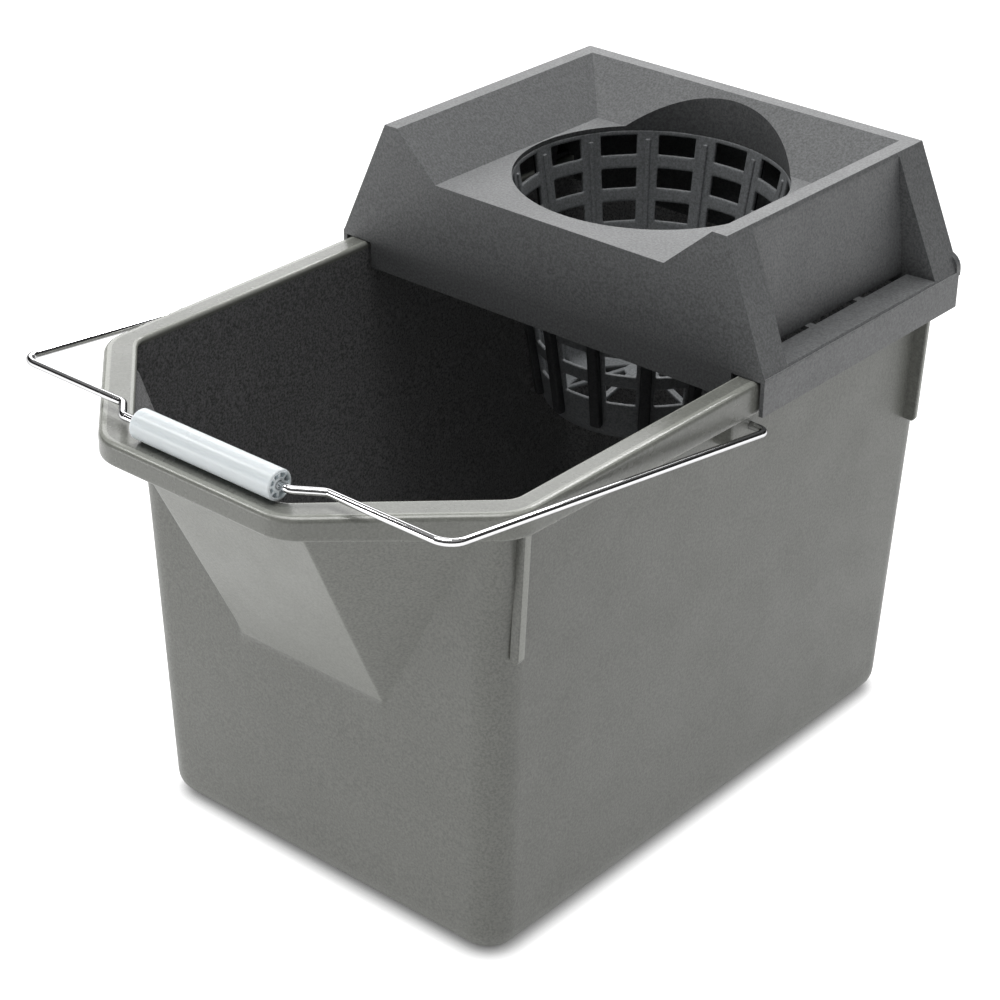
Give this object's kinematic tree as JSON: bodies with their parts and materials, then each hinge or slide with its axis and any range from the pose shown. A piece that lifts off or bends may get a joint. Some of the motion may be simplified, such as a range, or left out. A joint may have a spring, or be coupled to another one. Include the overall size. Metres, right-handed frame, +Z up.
{
  "type": "mop pail with strainer",
  "caption": "Rectangular plastic mop pail with a wide pouring spout, a drop-on strainer tray with a perforated round cone, and a wire bail with a loose plastic grip.",
  "frame": {"origin": "centre of the pail's flat base, on the floor, without the spout", "axes": "+Z up, -Y towards the pouring spout and +Y towards the strainer, +X across the pail"},
  "size_m": [0.2724, 0.4169, 0.308],
  "materials": {
    "pail_plastic": "fine satin moulding texture, warm mid grey",
    "strainer_plastic": "fine matt moulding texture, cooler and darker grey",
    "wire": "bright plated round wire",
    "grip_plastic": "smooth white moulding"
  },
  "bodies": {
    "pail": {"pail": "pail_plastic"},
    "strainer": {"strainer_tray": "strainer_plastic", "strainer_cone": "strainer_plastic"},
    "bail": {"bail_wire": "wire"},
    "grip": {"bail_grip": "grip_plastic"}
  },
  "joints": [
    {"name": "bail_swing", "type": "hinge", "parent": "pail", "child": "bail", "pos_m": [0, -0.0076, 0.224], "axis": [-1, 0, 0], "range_deg": [0, 155]},
    {"name": "grip_spin", "type": "hinge", "parent": "bail", "child": "grip", "pos_m": [0, -0.22587, 0.25157], "axis": [1, 0, 0], "continuous": true},
    {"name": "strainer_lift", "type": "slide", "parent": "pail", "child": "strainer", "axis": [0, 0, 1], "range_m": [0, 0.12]}
  ]
}
